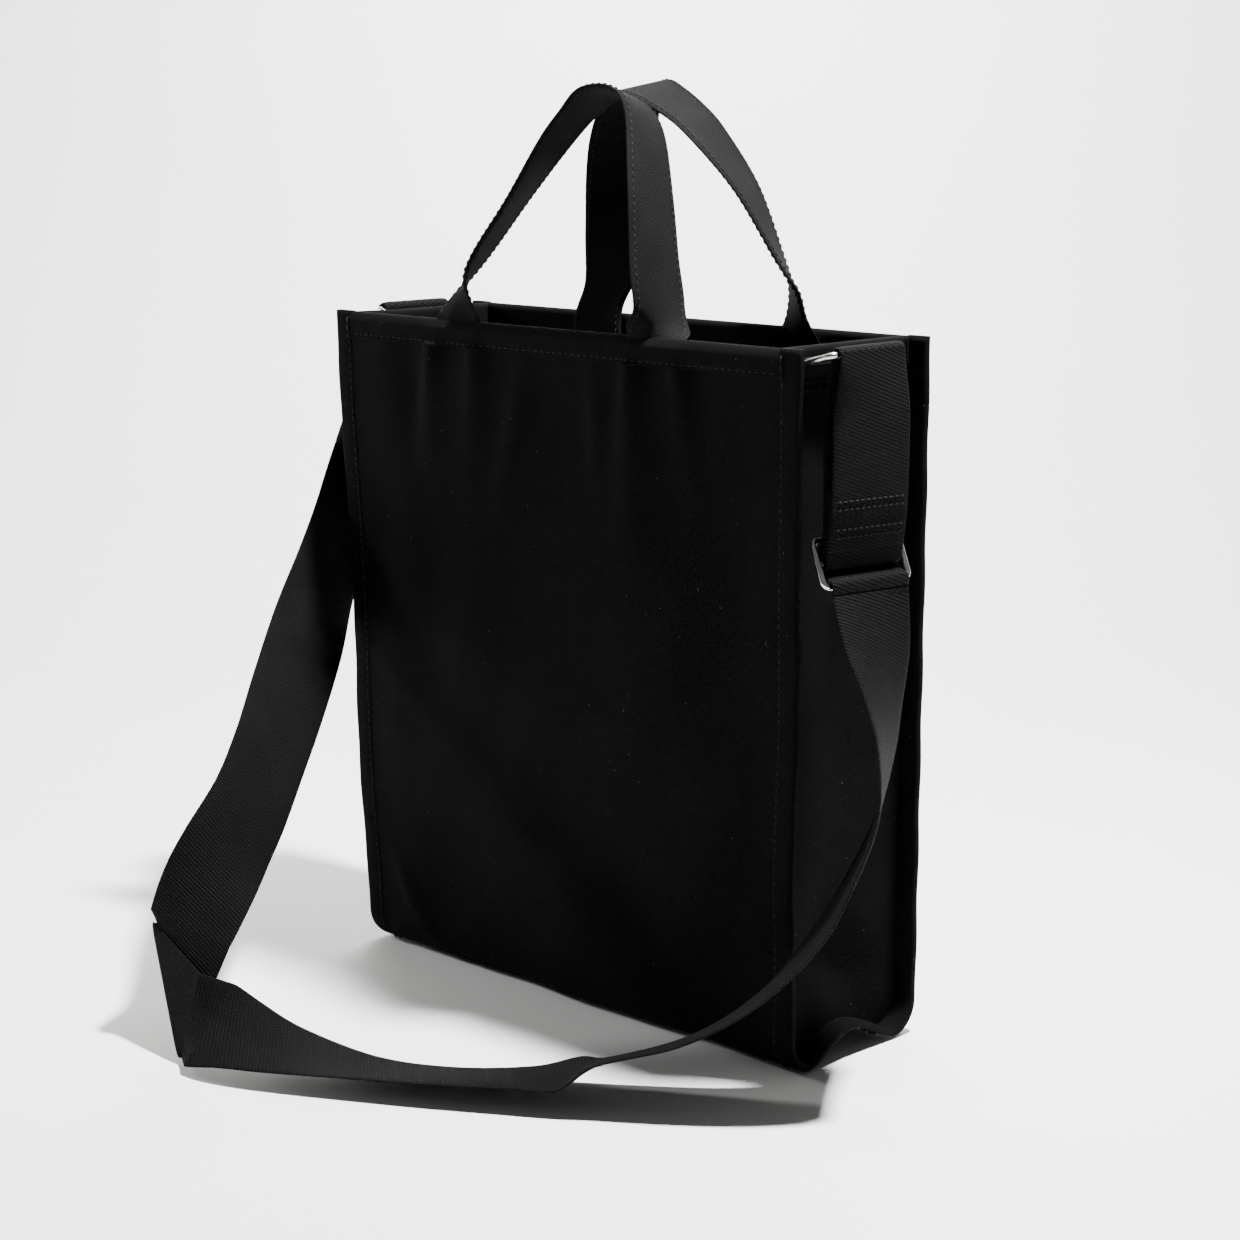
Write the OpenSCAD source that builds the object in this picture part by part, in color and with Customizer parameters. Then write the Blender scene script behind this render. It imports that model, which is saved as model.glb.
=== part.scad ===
// Canvas tote bag with two carrying handles and an adjustable shoulder strap.
// Millimetres, +Z up, +X to the wearer's right, front panel towards -Y.
// Origin: centre of the base, on the surface that the bag stands on.

/* [Bag] */
// Width across the front panel, seam edges included
bag_w = 340; // [250:1:450]
// Height from the base to the top of the hem
bag_h = 372; // [280:1:480]
// Depth from the front panel to the back panel, outside
bag_d = 102; // [80:1:160]
// Thickness of one ply of canvas
canvas_t = 1.6; // [1:0.1:2.2]
// Width of the edge that stands out along each side seam
seam_w = 12; // [8:1:18]
// Radius where the panels turn under to the base
base_r = 10; // [6:1:20]
// Height of the hem round the mouth
hem_h = 15; // [12:1:25]

/* [Handles] */
// Width of the handle webbing
handle_w = 38; // [25:1:45]
// Thickness of the handle webbing
handle_t = 2.4; // [1.5:0.1:3]
// Distance of each handle foot from the middle of its handle
foot_x = 74; // [50:1:95]
// How far the front handle sits to the right of the panel's middle
front_shift = -2; // [-8:1:8]
// How far the back handle sits to the right of the panel's middle
back_shift = 13; // [0:1:16]
// Rise of the handles above the hem
handle_rise = 123; // [90:1:160]

/* [Shoulder strap] */
// Width of the strap webbing
strap_w = 50; // [38:1:50]
// Thickness of the strap webbing
strap_t = 2; // [1.2:0.1:2.4]
// Length of the sewn end that turns back under itself
turnback_l = 32; // [26:1:40]

/* [Rings and slider] */
// Wire diameter of the rings and the slider
wire_d = 3.2; // [2.4:0.1:4]
// Distance between a ring's two long bars, centre to centre
ring_reach = 23.4; // [20:0.1:30]
// Angle at which the rings stand above the horizontal
ring_tilt = 16; // [0:1:30]
// Where the right ring sits along the side, from the middle
ring_y_right = -16; // [-18:1:18]
// Where the left ring sits along the side, from the middle
ring_y_left = 14; // [-18:1:18]
// Distance of a ring's inner bar below the top of the hem
ring_drop = 8.5; // [7:0.5:14]
// Height between the slider's upper and lower bars, centre to centre
slider_h = 22; // [20:1:30]
// How far the slider's lower bar stands out past its upper bar, beyond the plies between them
slider_lean = 2; // [1:0.5:6]
// Distance of the slider's middle bar below the right ring's outer bar
slider_drop = 103; // [95:1:130]
// Angle by which the double run of strap is turned towards the front
run_turn = 10; // [0:1:15]

/* [Fits] */
// Gap between the wire and the webbing or canvas round it
wire_gap = 0.3; // [0.2:0.05:0.6]
// Gap between pieces that lie beside each other
side_gap = 0.3; // [0.2:0.05:0.6]
// Gap between a handle and the hem that it comes out of
handle_gap = 2; // [1:0.5:4]
// Side room between the webbing and a ring's or slider's end wires
end_gap = 1; // [0.5:0.1:2]

/* [Hidden] */
$fn = 48;

canvas = [0.035, 0.034, 0.036];
webbing_black = [0.05, 0.05, 0.055];
steel = [0.62, 0.62, 0.64];
thread = [0.08, 0.08, 0.085];
gusset_x = bag_w / 2 - seam_w;
panel_y = bag_d / 2;
inner_y = panel_y - canvas_t;
lining_x = gusset_x - canvas_t;
// Handle feet, caught inside the hem
foot_depth = handle_t + side_gap;
foot_h = hem_h - side_gap;
handle_half = handle_w / 2;
handle_y = inner_y - handle_t / 2;
handle_start = bag_h + handle_gap;
// Rings: the inner bar lies in its tab, the outer bar carries the strap
wire_r = wire_d / 2;
tab_inner_r = wire_r + wire_gap;
tab_outer_r = tab_inner_r + canvas_t;
tab_l = hem_h - ring_drop + tab_outer_r + 5;
ring_bar_x = gusset_x + tab_outer_r;
ring_bar_z = bag_h - ring_drop;
ring_out_x = ring_bar_x + ring_reach * cos(ring_tilt);
ring_out_z = ring_bar_z + ring_reach * sin(ring_tilt);
ring_span = strap_w + 2 * end_gap + wire_d;
corner_r = wire_d;
// Plies of the strap that hang from a ring's outer bar
strap_half = strap_w / 2;
ply_in = wire_r + wire_gap;
ply_mid = ply_in + strap_t / 2;
ply_out = ply_in + strap_t;
left_ply_l = 20;
// Height over which the double run twists from the ring to the turned slider
twist_h = 34;
// Slider bars [across the run, up]; the middle bar carries the sewn end's collar
slider_z = ring_out_z - slider_drop;
bar_step = slider_lean + 4 * strap_t;
middle_bar = [-3, slider_z];
upper_bar = middle_bar + [-bar_step, slider_h] / 2;
lower_bar = middle_bar - [-bar_step, slider_h] / 2;
bar_lean = atan2(slider_h, -bar_step);
collar_in_r = wire_r + 0.15;
collar_r = collar_in_r + strap_t;
over_bar = wire_r + wire_gap + strap_t / 2;
over_collar = collar_r + wire_gap + strap_t / 2;
wave_top = slider_z + slider_h / 2 + 5;
wave_end = slider_z - slider_h / 2 - 3;
sewn_straight_z = slider_z + 25;
sewn_end_z = slider_z + collar_r + side_gap + strap_t / 2;
// Stitches: length, thickness and spacing
stitch_l = 3.4;
stitch_t = 0.5;
stitch_w = 0.8;
stitch_pitch = 6;
seam_row_x = gusset_x + 4;
hem_row_z = bag_h - hem_h + 2;

// A station is [x, y, z, azimuth, elevation, half width]. The angles give the way from the
// webbing's near edge to its far edge. Routes are laid by hand, as the webbing hangs.
// From the slider, down past the front corner and forward to the crease on the floor
route_down = [
    [189, -17, 252, 80, 0], [197, -21, 226, 88, -8], [204, -25, 202, 104, -15],
    [209, -28, 176, 118, -16], [212, -37, 146, 129, -14], [207, -50, 116, 133, -11],
    [198, -65, 87, 134, -8], [180, -87, 56, 129, -11], [154, -111, 34, 125, -14],
    [121, -136, 21, 124, -16], [107, -147, 14, 121, -1], [87, -160, 10, 122, -8], [51, -183, 7.5, 121, -11],
    [14, -204, 8, 120, -8], [-23, -224, 13, 118, 7], [-46, -236, 19, 112, 25],
    [-60, -243, 22, 95, 44]];
// Where the strap folds over on the floor: middle of the crease, and the crease's own line
crease = [-97.5, -242, 31.5];
crease_way = [157, 49];
crease_half = 38.5;
// Across the crease, towards the two parts of the strap that meet there
crease_back = [0.78, 0.16, 0.57];
crease_face = [-0.03, -0.97, 0.32];
crease_r = 1.4;
// From the crease back to the left ring
route_up = [
    [-96, -227, 62, -158, 18], [-99, -213, 80, -141, 24], [-103, -196, 98, -121, 33],
    [-110, -174, 117, -108, 39], [-122, -151, 138, -107, 41], [-140, -122, 164, -111, 37],
    [-162, -90, 190, -111, 37], [-178, -63, 218, -96, 41], [-185, -43, 245, -92, 37],
    [-190, -22, 273, -104, 31], [-190, -6, 303, -108, 25], [-188, 7, 328, -98, 10],
    [-186.8, 14, 349.6, -90, 0]];
// Handle routes, from left foot to right foot: [share of the half span, lean inwards in mm,
// share of the rise, azimuth, elevation]
front_handle_route = [
    [-1, 0, 0, 180, 0], [-0.96, 3, 0.155, 134, 0], [-0.86, 8, 0.285, 120, 0],
    [-0.58, 17, 0.54, 113, 3], [-0.27, 23, 0.79, 103, 1], [-0.08, 26, 0.91, 98, 0],
    [0.12, 27, 0.99, 94, -6], [0.36, 28, 0.97, 96, -18], [0.56, 25, 0.87, 97, -23],
    [0.75, 15, 0.59, 94, -15], [0.88, 8, 0.3, 90, -11], [0.95, 4, 0.15, 70, -9],
    [1, 0, 0, 0, 0]];
back_handle_route = [
    [-1, 0, 0, 0, 0], [-0.89, 2, 0.16, 4, -8], [-0.82, 5, 0.31, 14, -12],
    [-0.74, 8, 0.46, 27, -11], [-0.67, 11, 0.62, 41, -7], [-0.6, 14, 0.77, 55, -1],
    [-0.49, 18, 0.91, 67, 6], [-0.31, 24, 1.01, 74, 11], [-0.07, 28, 0.99, 83, 7],
    [0.17, 28, 0.92, 91, 4], [0.38, 26, 0.82, 99, 3], [0.69, 19, 0.58, 112, 2],
    [0.88, 9, 0.29, 127, 3], [0.97, 3, 0.15, 142, 2], [1, 0, 0, 180, 0]];

function unit(v) = v / norm(v);
function polar(az, el) = [cos(az) * cos(el), sin(az) * cos(el), sin(el)];
function blend3(a, b, c, d, f) =
    0.5 * ((2 * b) + (c - a) * f + (2 * a - 5 * b + 4 * c - d) * f * f
           + (3 * b - a - 3 * c + d) * f * f * f);
function place(s) = [s[0], s[1], s[2]];
function way(s) = polar(s[3], s[4]);
// A smooth run of rings [centre, width direction, half width] through hand-laid stations
function rings_of(route, half, steps) =
    let (n = len(route) - 1)
    [for (i = [0 : n - 1]) for (k = [0 : (i == n - 1 ? steps : steps - 1)])
        let (a = route[max(i - 1, 0)], d = route[min(i + 2, n)], b = route[i], c = route[i + 1],
             f = k / steps,
             at = blend3(place(a), place(b), place(c), place(d), f),
             w = blend3(way(a), way(b), way(c), way(d), f))
        [at, unit(w), half]];
function path_way(rings, i) =
    unit(rings[min(i + 1, len(rings) - 1)][0] - rings[max(i - 1, 0)][0]);
// One eight-sided section of webbing: flat faces with eased edges
function section(ring, along, t) =
    let (u = ring[1], h = ring[2], e = h - t * 0.3, n = unit(cross(along, u)) * t / 2)
    [for (s = [[h, -0.4], [h, 0.4], [e, 1], [-e, 1], [-h, 0.4], [-h, -0.4], [-e, -1], [e, -1]])
        ring[0] + n * s[1] + u * s[0]];
// The strap turns back on itself round a small radius along the crease
crease_rings = [for (a = [-90 : 45 : 90])
    [crease + crease_back * (3 - crease_r * cos(a)) - crease_face * crease_r * sin(a),
     polar(crease_way[0], crease_way[1]), crease_half]];
strap_rings = concat(rings_of(route_down, strap_half, 2), crease_rings,
                     rings_of(route_up, strap_half, 3));
// A handle's stations in place: side is -1 for the front handle and 1 for the back handle
function handle_rings(route, shift, side) =
    rings_of([for (s = route)
        [shift + foot_x * s[0], side * (handle_y - s[1]),
         handle_start + (handle_rise - handle_gap) * s[2], s[3], s[4]]], handle_half, 4);
// Stations of the double run of strap in its own frame: [across, up, turn still missing]
function run_station(x, z) =
    let (turn = run_turn * (1 - min(1, max(0, (ring_out_z - z) / twist_h))))
    [x * cos(turn), x * sin(turn), z, 90 + turn, 0];
function run_rings(points) =
    rings_of([for (p = points) run_station(p[0], p[1])], strap_half, 2);
function round_bar(bar, r, angle) = bar + r * [cos(angle), sin(angle)];

// Flat webbing swept through its rings
module webbing(rings, t) {
    n = len(rings);
    points = [for (i = [0 : n - 1]) each section(rings[i], path_way(rings, i), t)];
    sides = [for (i = [0 : n - 2]) for (k = [0 : 7])
        let (a = i * 8 + k, b = i * 8 + (k + 1) % 8) each [[a, b, b + 8], [a, b + 8, a + 8]]];
    caps = [[for (k = [7 : -1 : 0]) k], [for (k = [0 : 7]) (n - 1) * 8 + k]];
    polyhedron(points, concat(sides, caps), convexity = 8);
}

// End view of the bag, inset from its outside: straight sides with rounded lower corners
module tub_outline(inset, above = 0) {
    half = panel_y - inset;
    r = base_r - inset;
    translate([-half, base_r]) square([2 * half, bag_h - base_r + above]);
    translate([r - half, inset]) square([2 * (half - r), base_r]);
    for (side = [-1, 1])
        translate([side * (half - r), base_r]) circle(r);
}

// Carries an end view across the bag, from one x to another
module across(x_low, x_high) {
    translate([x_low, 0, 0]) rotate([90, 0, 90]) linear_extrude(x_high - x_low) children();
}

// Front, base and back, cut in one piece
module body_panel() {
    color(canvas)
        across(-bag_w / 2, bag_w / 2)
            difference() {
                tub_outline(0);
                tub_outline(canvas_t, 1);
            }
}

// Right side panel, with its edge turned out against the body panel
module gusset() {
    color(canvas) {
        across(lining_x, gusset_x) tub_outline(canvas_t);
        across(gusset_x, bag_w / 2)
            difference() {
                tub_outline(canvas_t);
                tub_outline(2 * canvas_t, 1);
            }
    }
}

module gusset_right() { gusset(); }
module gusset_left() { mirror([1, 0, 0]) gusset(); }

// Inner ply of the hem along a long side, raised over each handle foot
module hem_long(feet) {
    pocket = handle_w + 2 * side_gap;
    color(canvas)
        difference() {
            union() {
                translate([-lining_x, inner_y - canvas_t, bag_h - hem_h])
                    cube([2 * lining_x, canvas_t, hem_h]);
                for (x = feet)
                    translate([x - pocket / 2 - canvas_t, inner_y - foot_depth - canvas_t, bag_h - hem_h])
                        cube([pocket + 2 * canvas_t, foot_depth + canvas_t, hem_h]);
            }
            for (x = feet)
                translate([x - pocket / 2, inner_y - foot_depth, bag_h - hem_h - 1])
                    cube([pocket, foot_depth + 1, hem_h + 2]);
        }
}

front_feet = [front_shift - foot_x, front_shift + foot_x];
back_feet = [back_shift - foot_x, back_shift + foot_x];

module hem_back() { hem_long(back_feet); }
module hem_front() { mirror([0, 1, 0]) hem_long(front_feet); }

// Inner ply of the hem along a short side
module hem_short() {
    half = inner_y - canvas_t;
    color(canvas)
        translate([lining_x - canvas_t, -half, bag_h - hem_h])
            cube([canvas_t, 2 * half, hem_h]);
}

module hem_right() { hem_short(); }
module hem_left() { mirror([1, 0, 0]) hem_short(); }

module front_handle() {
    color(webbing_black)
        webbing(handle_rings(front_handle_route, front_shift, -1), handle_t);
}

module back_handle() {
    color(webbing_black)
        webbing(handle_rings(back_handle_route, back_shift, 1), handle_t);
}

// End of a handle, caught between the back panel and its hem
module handle_foot(x) {
    color(webbing_black)
        translate([x - handle_half, inner_y - handle_t, bag_h - foot_h])
            cube([handle_w, handle_t, foot_h]);
}

module back_handle_foot_left() { handle_foot(back_feet[0]); }
module back_handle_foot_right() { handle_foot(back_feet[1]); }
module front_handle_foot_left() { mirror([0, 1, 0]) handle_foot(front_feet[0]); }
module front_handle_foot_right() { mirror([0, 1, 0]) handle_foot(front_feet[1]); }

// Canvas tab: two plies sewn flat to the side, open round the ring's inner bar
module ring_tab(y) {
    width = strap_w;
    color(canvas)
        translate([gusset_x, y + width / 2, ring_bar_z]) rotate([90, 0, 0])
            linear_extrude(width)
                difference() {
                    union() {
                        translate([tab_outer_r, 0]) circle(tab_outer_r);
                        polygon([[0, 0], [0, -tab_l], [2 * canvas_t, -tab_l],
                                 [2 * canvas_t, 5 - tab_l], [2 * tab_outer_r, 0]]);
                    }
                    translate([tab_outer_r, 0]) circle(tab_inner_r);
                }
}

module ring_tab_right() { ring_tab(ring_y_right); }
module ring_tab_left() { mirror([1, 0, 0]) ring_tab(ring_y_left); }

// Closed loop of round wire in the XY plane: long bars along Y at x = 0 and x = reach
module wire_loop(reach) {
    half = ring_span / 2;
    bar = ring_span - 2 * corner_r;
    side = reach - 2 * corner_r;
    for (x = [0, reach])
        translate([x, bar / 2, 0]) rotate([90, 0, 0]) cylinder(h = bar, r = wire_r);
    for (y = [-half, half])
        translate([corner_r, y, 0]) rotate([0, 90, 0]) cylinder(h = side, r = wire_r);
    for (c = [[0, 0, 180], [1, 0, 270], [1, 1, 0], [0, 1, 90]])
        translate([corner_r + c[0] * side, (c[1] - 0.5) * bar, 0]) rotate([0, 0, c[2]])
            rotate_extrude(angle = 90) translate([corner_r, 0]) circle(wire_r);
}

module ring(y) {
    color(steel)
        translate([ring_bar_x, y, ring_bar_z]) rotate([0, -ring_tilt, 0]) wire_loop(ring_reach);
}

module ring_right() { ring(ring_y_right); }
module ring_left() { mirror([1, 0, 0]) ring(ring_y_left); }

// Strap folded over a ring's outer bar
module bar_fold(y) {
    translate([ring_out_x, y + strap_half, ring_out_z]) rotate([90, 0, 0])
        linear_extrude(strap_w)
            difference() {
                circle(ply_out);
                circle(ply_in);
                translate([-ply_out - 1, -ply_out - 1]) square([2 * ply_out + 2, ply_out + 1]);
            }
}

module strap_fold_right() { color(webbing_black) bar_fold(ring_y_right); }

// Frame of the double run: across the strap's face, along its width, up
module run_frame() {
    translate([ring_out_x, ring_y_right, 0]) rotate([0, 0, -run_turn]) children();
}

// Outer ply, from the ring down to the slider, with its end turned back and sewn under it
module strap_sewn_ply() {
    under = [-strap_t - 0.1, 0];
    straight = [ply_mid, sewn_straight_z];
    end = [middle_bar[0] + collar_r - strap_t / 2, sewn_end_z];
    color(webbing_black) run_frame() {
        webbing(run_rings([[ply_mid, ring_out_z], [ply_mid, ring_out_z - twist_h],
                           straight, end]), strap_t);
        webbing(run_rings([[ply_mid, sewn_end_z + turnback_l] + under, straight + under,
                           end + under]), strap_t);
    }
}

// Inner ply, from the ring down to the slider
module strap_running_ply() {
    color(webbing_black) run_frame()
        webbing(run_rings([[-ply_mid, ring_out_z], [-ply_mid, ring_out_z - twist_h],
                           [-ply_mid, wave_top + side_gap]]), strap_t);
}

module slider_frame() {
    color(steel) run_frame()
        translate([lower_bar[0], 0, lower_bar[1]]) rotate([0, -bar_lean, 0])
            wire_loop(norm([bar_step, slider_h]));
}

module slider_middle_bar() {
    length = ring_span - wire_d;
    color(steel) run_frame()
        translate([middle_bar[0], length / 2, middle_bar[1]]) rotate([90, 0, 0])
            cylinder(h = length, r = wire_r);
}

// Turn of the sewn end round the slider's middle bar
module strap_slider_collar() {
    color(webbing_black) run_frame()
        translate([middle_bar[0], strap_half, middle_bar[1]]) rotate([90, 0, 0])
            linear_extrude(strap_w)
                difference() {
                    circle(collar_r);
                    circle(collar_in_r);
                }
}

// The running strap where it weaves through the slider
module strap_slider_wave() {
    spare = 0.4;
    weave = [[-ply_mid, wave_top], round_bar(upper_bar, over_bar + spare, -15),
             round_bar(middle_bar, over_collar + spare, 155),
             round_bar(middle_bar, over_collar + spare, 225),
             round_bar(lower_bar, over_bar + spare, 100),
             round_bar(lower_bar, over_bar + spare, 20),
             [lower_bar[0] + over_bar, wave_end]];
    color(webbing_black) run_frame()
        webbing(run_rings(weave), strap_t);
}

// The free strap, from the slider round to the left ring
module shoulder_strap() { color(webbing_black) webbing(strap_rings, strap_t); }

// Strap end folded over the left ring and sewn back to itself
module strap_end_left() {
    low = ring_out_z - left_ply_l;
    color(webbing_black) mirror([1, 0, 0]) {
        bar_fold(ring_y_left);
        translate([ring_out_x + ply_in, ring_y_left - strap_half, low])
            cube([strap_t, strap_w, left_ply_l]);
        translate([ring_out_x, ring_y_left + strap_half, ring_out_z]) rotate([90, 0, 0])
            linear_extrude(strap_w)
                polygon([[-ply_out, 0], [-ply_in, 0], [ply_in - 0.1, 6 - left_ply_l],
                         [ply_in - 0.1, -left_ply_l], [ply_in - 0.1 - strap_t, -left_ply_l],
                         [ply_in - 0.1 - strap_t, 6 - left_ply_l]]);
    }
}

// A row of stitches along X from the origin, proud of the XZ plane towards -Y
module stitch_row(length) {
    count = floor(length / stitch_pitch);
    start = (length - count * stitch_pitch + stitch_pitch - stitch_l) / 2;
    for (i = [0 : count - 1])
        translate([start + i * stitch_pitch, -stitch_t, -stitch_w / 2])
            cube([stitch_l, stitch_t, stitch_w]);
}

// Stitching up the seams of the right side, on the faces of the body panel
module seam_stitching() {
    length = bag_h - hem_h - base_r;
    color(thread)
        for (side = [0, 1])
            mirror([0, side, 0])
                translate([seam_row_x, -panel_y, base_r]) rotate([0, -90, 0]) stitch_row(length);
}

module seam_stitching_right() { seam_stitching(); }
module seam_stitching_left() { mirror([1, 0, 0]) seam_stitching(); }

// One row round the bag that holds the hem down
module hem_stitching() {
    half = inner_y - 2 * canvas_t;
    color(thread) {
        for (side = [0, 1]) mirror([0, side, 0])
            translate([-gusset_x, -panel_y, hem_row_z]) stitch_row(2 * gusset_x);
        for (side = [0, 1]) mirror([side, 0, 0])
            for (run = [[-half, (side == 0 ? ring_y_right : ring_y_left) - strap_half - 1],
                        [(side == 0 ? ring_y_right : ring_y_left) + strap_half + 1, half]])
                if (run[1] - run[0] > stitch_pitch)
                    translate([gusset_x, run[0], hem_row_z]) rotate([0, 0, 90])
                        stitch_row(run[1] - run[0]);
    }
}

// Rows that hold each ring's tab to the side
module tab_stitching() {
    color(thread)
        for (tab = [[0, ring_y_right], [1, ring_y_left]])
            mirror([tab[0], 0, 0])
                translate([gusset_x + 2 * canvas_t, tab[1] - strap_half, ring_bar_z - tab_l + 2.5])
                    rotate([0, 0, 90]) stitch_row(strap_w);
}

// Rows that hold the sewn end to the ply above it
module strap_stitching() {
    color(thread) run_frame()
        for (z = [sewn_straight_z + 3, sewn_straight_z + 8])
            translate([ply_out + side_gap, -strap_half, z]) rotate([0, 0, 90]) stitch_row(strap_w);
}

body_panel();
gusset_left();
gusset_right();
hem_front();
hem_back();
hem_left();
hem_right();
front_handle();
back_handle();
front_handle_foot_left();
front_handle_foot_right();
back_handle_foot_left();
back_handle_foot_right();
ring_tab_left();
ring_tab_right();
ring_left();
ring_right();
strap_fold_right();
strap_sewn_ply();
strap_running_ply();
slider_frame();
slider_middle_bar();
strap_slider_collar();
strap_slider_wave();
shoulder_strap();
strap_end_left();
seam_stitching_left();
seam_stitching_right();
hem_stitching();
tab_stitching();
strap_stitching();
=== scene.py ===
import math

import bpy
import numpy as np
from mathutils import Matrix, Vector


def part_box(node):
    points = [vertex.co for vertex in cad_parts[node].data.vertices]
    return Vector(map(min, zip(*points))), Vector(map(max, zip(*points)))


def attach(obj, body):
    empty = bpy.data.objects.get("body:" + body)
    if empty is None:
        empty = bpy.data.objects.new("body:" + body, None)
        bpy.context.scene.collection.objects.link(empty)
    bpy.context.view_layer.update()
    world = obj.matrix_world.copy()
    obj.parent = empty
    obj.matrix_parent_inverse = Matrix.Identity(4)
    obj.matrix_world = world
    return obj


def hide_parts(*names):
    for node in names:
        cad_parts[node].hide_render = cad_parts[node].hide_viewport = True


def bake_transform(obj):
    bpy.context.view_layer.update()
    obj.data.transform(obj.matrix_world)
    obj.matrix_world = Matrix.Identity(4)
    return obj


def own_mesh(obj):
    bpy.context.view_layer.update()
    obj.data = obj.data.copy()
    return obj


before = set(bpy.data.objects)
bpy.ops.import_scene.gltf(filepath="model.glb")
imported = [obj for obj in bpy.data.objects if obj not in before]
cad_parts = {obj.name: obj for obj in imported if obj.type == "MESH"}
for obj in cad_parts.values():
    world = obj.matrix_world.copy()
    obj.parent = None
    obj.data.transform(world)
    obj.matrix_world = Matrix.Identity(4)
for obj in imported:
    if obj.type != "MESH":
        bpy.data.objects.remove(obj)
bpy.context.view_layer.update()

MM = 0.001
TAU = 2 * math.pi

# --- Sizes, in metres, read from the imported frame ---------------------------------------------
HALF_W, HALF_D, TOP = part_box("body_panel")[1]
ring_low, ring_high = (np.array(c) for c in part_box("ring_right"))
left_low, left_high = (np.array(c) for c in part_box("ring_left"))
front_foot = [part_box("front_handle_foot_" + side) for side in ("left", "right")]
back_foot = [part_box("back_handle_foot_" + side) for side in ("left", "right")]

CANVAS_T = 1.6 * MM
SIDE_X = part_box("gusset_right")[0][0] + CANVAS_T
HEM_H = 15 * MM
HEM_R = 2.8 * MM
CORNER_R = 20 * MM
BASE_LIFT = 14 * MM
WIRE_R = 1.6 * MM
STRAP_W = 50 * MM
STRAP_T = 2.0 * MM
HANDLE_W = 38 * MM
HANDLE_T = 2.4 * MM
FRONT_FEET = [(box[0][0] + box[1][0]) / 2 for box in front_foot]
BACK_FEET = [(box[0][0] + box[1][0]) / 2 for box in back_foot]
FOOT_Y = (back_foot[0][0][1] + back_foot[0][1][1]) / 2
RING_BAR = np.array([ring_high[0] - WIRE_R, (ring_low[1] + ring_high[1]) / 2,
                     ring_high[2] - WIRE_R])
LEFT_BAR = np.array([left_low[0] + WIRE_R, (left_low[1] + left_high[1]) / 2,
                     left_high[2] - WIRE_R])
TAB_BAR = np.array([ring_low[0] + WIRE_R, RING_BAR[1], ring_low[2] + WIRE_R])

# --- Routes, in millimetres: the same stations that the model was built with -------------------
# [x, y, z, azimuth, elevation]; the angles give the way from the webbing's near to its far edge
ROUTE_DOWN = [
    [189, -17, 252, 80, 0], [197, -21, 226, 88, -8], [204, -25, 202, 104, -15],
    [209, -28, 176, 118, -16], [212, -37, 146, 129, -14], [207, -50, 116, 133, -11],
    [198, -65, 87, 134, -8], [180, -87, 56, 129, -11], [154, -111, 34, 125, -14],
    [121, -136, 21, 124, -16], [107, -147, 14, 121, -1], [87, -160, 10, 122, -8],
    [51, -183, 7.5, 121, -11], [14, -204, 8, 120, -8], [-23, -224, 13, 118, 7],
    [-46, -236, 19, 112, 25], [-60, -243, 22, 95, 44]]
CREASE = [-97.5, -242, 31.5]
CREASE_WAY = [157, 49]
CREASE_HALF = 38.5
CREASE_BACK = [0.78, 0.16, 0.57]
CREASE_FACE = [-0.03, -0.97, 0.32]
CREASE_R = 1.4
# Beside the crease the strap bends again, along a line that fans out from the crease's low end
FAN_LOW = [-72, -252, 2.6]
FAN_HIGH = [-72, -239, 46]
ROUTE_UP = [
    [-96, -227, 62, -158, 18], [-99, -213, 80, -141, 24], [-103, -196, 98, -121, 33],
    [-110, -174, 117, -108, 39], [-122, -151, 138, -107, 41], [-140, -122, 164, -111, 37],
    [-162, -90, 190, -111, 37], [-178, -63, 218, -96, 41], [-185, -43, 245, -92, 37],
    [-190, -22, 273, -104, 31], [-190, -6, 303, -108, 25], [-188, 7, 328, -98, 10],
    [-186.8, 14, 349.6, -90, 0]]
# [share of the half span, lean inwards in mm, share of the rise, azimuth, elevation]
FRONT_HANDLE = [
    [-1, 0, -0.1, 180, 0], [-1, 0, 0, 178, 0], [-0.96, 3, 0.155, 134, 0], [-0.86, 8, 0.285, 120, 0],
    [-0.58, 17, 0.54, 113, 3], [-0.27, 23, 0.79, 103, 1], [-0.08, 26, 0.91, 98, 0],
    [0.12, 27, 0.99, 94, -6], [0.36, 28, 0.97, 96, -18], [0.56, 25, 0.87, 97, -23],
    [0.75, 15, 0.59, 94, -15], [0.88, 8, 0.3, 90, -11], [0.96, 5, 0.13, 84, -6],
    [0.99, 3, 0.05, 66, -3], [1, 0, -0.03, 6, 0], [1, 0, -0.1, 0, 0]]
BACK_HANDLE = [
    [-1, 4, -0.24, 0, 0], [-1, 4, -0.06, 0, 0], [-0.89, 3, 0.16, 4, -8], [-0.82, 5, 0.31, 14, -12],
    [-0.74, 8, 0.46, 27, -11], [-0.67, 11, 0.62, 41, -7], [-0.6, 14, 0.77, 55, -1],
    [-0.49, 18, 0.91, 67, 6], [-0.31, 24, 1.01, 74, 11], [-0.07, 28, 0.99, 83, 7],
    [0.17, 28, 0.92, 91, 4], [0.38, 26, 0.82, 99, 3], [0.69, 19, 0.58, 112, 2],
    [0.88, 9, 0.29, 127, 3], [0.96, 4, 0.15, 137, 2], [0.99, 4, 0.02, 150, 0],
    [1, 4, -0.1, 174, 0], [1, 4, -0.24, 180, 0]]


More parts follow.
